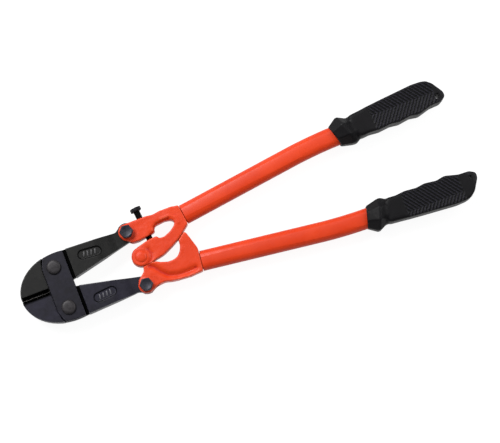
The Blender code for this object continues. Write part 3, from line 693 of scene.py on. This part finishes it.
def adjusting_screw():
    """A screw built upright on the joint's place, then leaned to the joint's axis."""
    pitch, r, root_r = 1.25, 3.3, 2.8
    thread_depth = 0.45
    y0, y1 = 10.0, 43.6
    head_from = 13.3
    steps = 40
    axis = HINGE_AXES["adjusting_screw_turn"]
    pivot = HINGES["adjusting_screw_turn"]
    lean = Vector((0, 1, 0)).rotation_difference(axis).to_matrix().to_4x4()
    lean = Matrix.Translation(pivot) @ lean @ Matrix.Translation(-pivot)
    bm = bmesh.new()
    turns = int((y1 - y0) / pitch)
    line = []
    for k in range(2 * turns + 1):
        depth = 0.0 if k % 2 else thread_depth
        line.append(bm.verts.new(at(SCREW_X + r - depth, y0 + 0.5 * pitch * k)))
    for a, b in zip(line, line[1:]):
        bm.edges.new((a, b))
    bmesh.ops.spin(bm, geom=bm.verts[:] + bm.edges[:], cent=at(SCREW_X, 0), axis=(0, 1, 0),
                   dvec=(0, pitch * MM / steps, 0), angle=2 * math.pi, steps=steps, use_merge=False)
    bmesh.ops.remove_doubles(bm, verts=bm.verts, dist=2e-5)
    core = bmesh.ops.create_cone(bm, cap_ends=True, segments=32, radius1=root_r * MM, radius2=root_r * MM,
                                 depth=(y1 - y0) * MM)["verts"]
    stand = Matrix.Rotation(-math.pi / 2, 4, 'X')
    bmesh.ops.transform(bm, matrix=Matrix.Translation(at(SCREW_X, 0.5 * (y0 + y1))) @ stand, verts=core)
    bmesh.ops.transform(bm, matrix=lean, verts=bm.verts)
    shank = from_bmesh("screw_shank", bm, 50)
    head = copy_of("adjusting_screw", "screw_head")
    bm = bmesh.new()
    bm.from_mesh(head.data)
    bmesh.ops.bisect_plane(bm, geom=bm.verts[:] + bm.edges[:] + bm.faces[:],
                           plane_co=pivot + axis * head_from * MM, plane_no=axis, clear_inner=True)
    bmesh.ops.holes_fill(bm, edges=bm.edges, sides=0)
    bm.to_mesh(head.data)
    bm.free()
    soften(head, 0.2)
    obj = joined("adjusting_screw_steel", [shank, head])
    mark_crests(obj, 0.4)
    settle(obj, "adjusting_screw", SCREW_BLACK, ["adjusting_screw"])


# ---------------------------------------------------------------- tubes and grips
def tube(label):
    obj = copy_of(f"{label}_handle_tube", f"{label}_tube_steel")
    soften(obj, 0.45, 3)
    mark_crests(obj, 0.1)
    settle(obj, f"{label}_handle", PAINT_TUBE, [f"{label}_handle_tube"])


RIB_PITCH, RIB_CUT = 3.7, 4.6        # along the grip, and across it where the ribs are broken
RIB_SLANT = 0.74                     # how far a rib runs back for each millimetre across
RIB_HEIGHT, RIB_SINK = 0.85, 0.45
HOLE_U, HOLE_DROP = 109.3, 0.6       # hanging hole, from the grip's start and below its middle


def grip(label, side, apex, ribs_from, ribs_to, hole):
    """A moulded grip: a smooth neck, and herringbone ribs on both faces inside a plain border."""
    obj = skinned(f"{label}_grip", f"{label}_grip_moulding", 0.50, 5)
    ease_neck(obj)
    shrink_hole(obj, side, hole)
    places = tool_coords(obj.data)
    normal = normals_of(obj.data)
    u = places[:, 0] - GRIP_X
    v = side * places[:, 1] - GRIP_Y - 4.0
    flat = step_in(np.abs(normal[:, 2]), 0.72, 0.95)
    zone = flat * step_in(u, ribs_from, ribs_from + 2.0) * step_in(-u, -ribs_to - 2.0, -ribs_to)
    lead = u + RIB_SLANT * np.abs(v - apex)
    wave = np.abs((lead / RIB_PITCH) % 1.0 - 0.5) * 2.0
    rib = step_in(wave, 0.28, 0.62)
    shift = 0.5 * (np.floor(lead / RIB_PITCH) % 2)
    cuts = np.abs(((v - apex) / RIB_CUT + shift) % 1.0 - 0.5) * 2.0
    rib = rib * (0.35 + 0.65 * step_in(cuts, 0.06, 0.24))
    push(obj.data, zone * (RIB_HEIGHT * rib - RIB_SINK))
    # The grooves are kept for painted shade, and the rib tops for a painted highlight.
    store(obj.data, "groove", zone * (1.0 - rib))
    store(obj.data, "rib", zone * rib)
    mark_crests(obj, 1.0)
    settle(obj, f"{label}_handle", VINYL, [f"{label}_grip"])


def ease_neck(obj):
    """Lets the guard run softly into the hand part."""
    group = obj.vertex_groups.new(name="neck")
    u = tool_coords(obj.data)[:, 0] - GRIP_X
    weight = step_in(u, 15.5, 19.0) * step_in(-u, -42.0, -30.0)
    for index in np.nonzero(weight > 0.01)[0]:
        group.add([int(index)], float(weight[index]), 'REPLACE')
    ease = obj.modifiers.new("neck", 'SMOOTH')
    ease.factor = 0.8
    ease.iterations = 90
    ease.vertex_group = "neck"
    freeze(obj)
    obj.vertex_groups.clear()


def shrink_hole(obj, side, scale):
    """Draws the wall of the hanging hole in, without moving the outside of the grip."""
    mesh = obj.data
    places = tool_coords(mesh)
    normal = normals_of(mesh)
    centre = np.array([GRIP_X + HOLE_U, side * (GRIP_Y - HOLE_DROP)])
    out = places[:, :2] - centre
    r = np.linalg.norm(out, axis=1)
    inward = step_in(-(out * normal[:, :2]).sum(1) / np.maximum(r, 0.1), -0.25, 0.25)
    top = step_in(np.abs(normal[:, 2]), 0.7, 0.95)
    pull = step_in(-r, -7.5, -4.6) * np.maximum(inward, top) * (1.0 - scale)
    places[:, :2] = centre + out * (1.0 - pull)[:, None]
    save_places(mesh, places)


# ---------------------------------------------------------------- assembly
strap_plate("front")
strap_plate("rear")
centre_pin()
adjusting_screw()
# Each grip's line of rib points, where its ribs start and end, and what is left of its hanging hole.
GRIP_LOOKS = {"upper": (0.5, 41.0, 106.0, 0.62), "lower": (6.0, 39.0, 97.0, 0.45)}
for label, side, finish in (("upper", 1, JAW_BLACK), ("lower", -1, JAW_BLUE)):
    jaw(label, side, finish)
    jaw_bolt(label, side)
    tail_bolt(label, side)
    washer(f"{label}_jaw_lock_washer", "strap_plates")
    washer(f"{label}_tail_lock_washer", f"{label}_handle")
    nut(f"{label}_jaw_pivot_nut", "strap_plates", 0.0, side * JAW_PIVOT_Y, -JAW_FACE - WASHER_T)
    nut(f"{label}_tail_nut", f"{label}_handle", TAIL_X, side * TAIL_Y, -HEAD_FACE - WASHER_T)
    casting(label)
    tube(label)
    grip(label, side, *GRIP_LOOKS[label])


# ---------------------------------------------------------------- studio
def floor():
    """A wide pale sheet just under the tool, bright enough to take only a faint shadow."""
    bm = bmesh.new()
    bmesh.ops.create_grid(bm, x_segments=2, y_segments=2, size=4.0)
    bmesh.ops.translate(bm, vec=(0, 0, -0.0003), verts=bm.verts)
    obj = from_bmesh("studio_floor", bm)
    mat, _, _ = shader("pale paper", Base_Color=(0.12, 0.12, 0.12, 1.0), Roughness=0.95,
                       Specular_IOR_Level=0.1, Emission_Color=(1.0, 1.0, 1.0, 1.0), Emission_Strength=0.93)
    obj.data.materials.append(mat)


def lamp(name, place, size, power):
    """A soft panel aimed at the middle of the tool."""
    data = bpy.data.lights.new(name, 'AREA')
    data.shape = 'RECTANGLE'
    data.size, data.size_y = size
    data.energy = power
    obj = bpy.data.objects.new(name, data)
    bpy.context.scene.collection.objects.link(obj)
    obj.location = place
    obj.rotation_mode = 'QUATERNION'
    obj.rotation_quaternion = (-Vector(place)).to_track_quat('-Z', 'Y')


def camera(centre, roll, tilt, lean, width, distance):
    """Looks down on the tool: roll turns the picture, tilt and lean take the eye off the vertical."""
    data = bpy.data.cameras.new("camera")
    data.sensor_width = 36.0
    data.lens = 36.0 * distance / width
    data.clip_end = 50.0
    obj = bpy.data.objects.new("camera", data)
    bpy.context.scene.collection.objects.link(obj)
    right = Vector((math.cos(roll), -math.sin(roll), 0.0))
    upward = Vector((math.sin(roll), math.cos(roll), 0.0))
    back = Vector((0, 0, 1)) * math.cos(tilt) - upward * math.sin(tilt) + right * math.sin(lean)
    back.normalize()
    right = (right - back * right.dot(back)).normalized()
    up = back.cross(right)
    turn = Matrix((right, up, back)).transposed()
    obj.rotation_mode = 'QUATERNION'
    obj.rotation_quaternion = turn.to_quaternion()
    obj.location = centre + back * distance
    bpy.context.scene.camera = obj


floor()
lamp("key softbox", (-0.45, 0.85, 1.15), (0.9, 0.7), 28.5)
lamp("side softbox", (1.0, 0.1, 0.85), (0.6, 0.9), 8.0)
world = bpy.data.worlds.new("studio")
world.use_nodes = True
background = world.node_tree.nodes["Background"]
background.inputs["Color"].default_value = (1.0, 1.0, 1.0, 1.0)
background.inputs["Strength"].default_value = 0.27
bpy.context.scene.world = world
bpy.context.scene.view_settings.view_transform = 'Standard'
camera(centre=at(192.3, -5.6, 4.0), roll=math.radians(21.1), tilt=math.radians(7.0),
       lean=math.radians(-0.56), width=0.4835, distance=2.0)
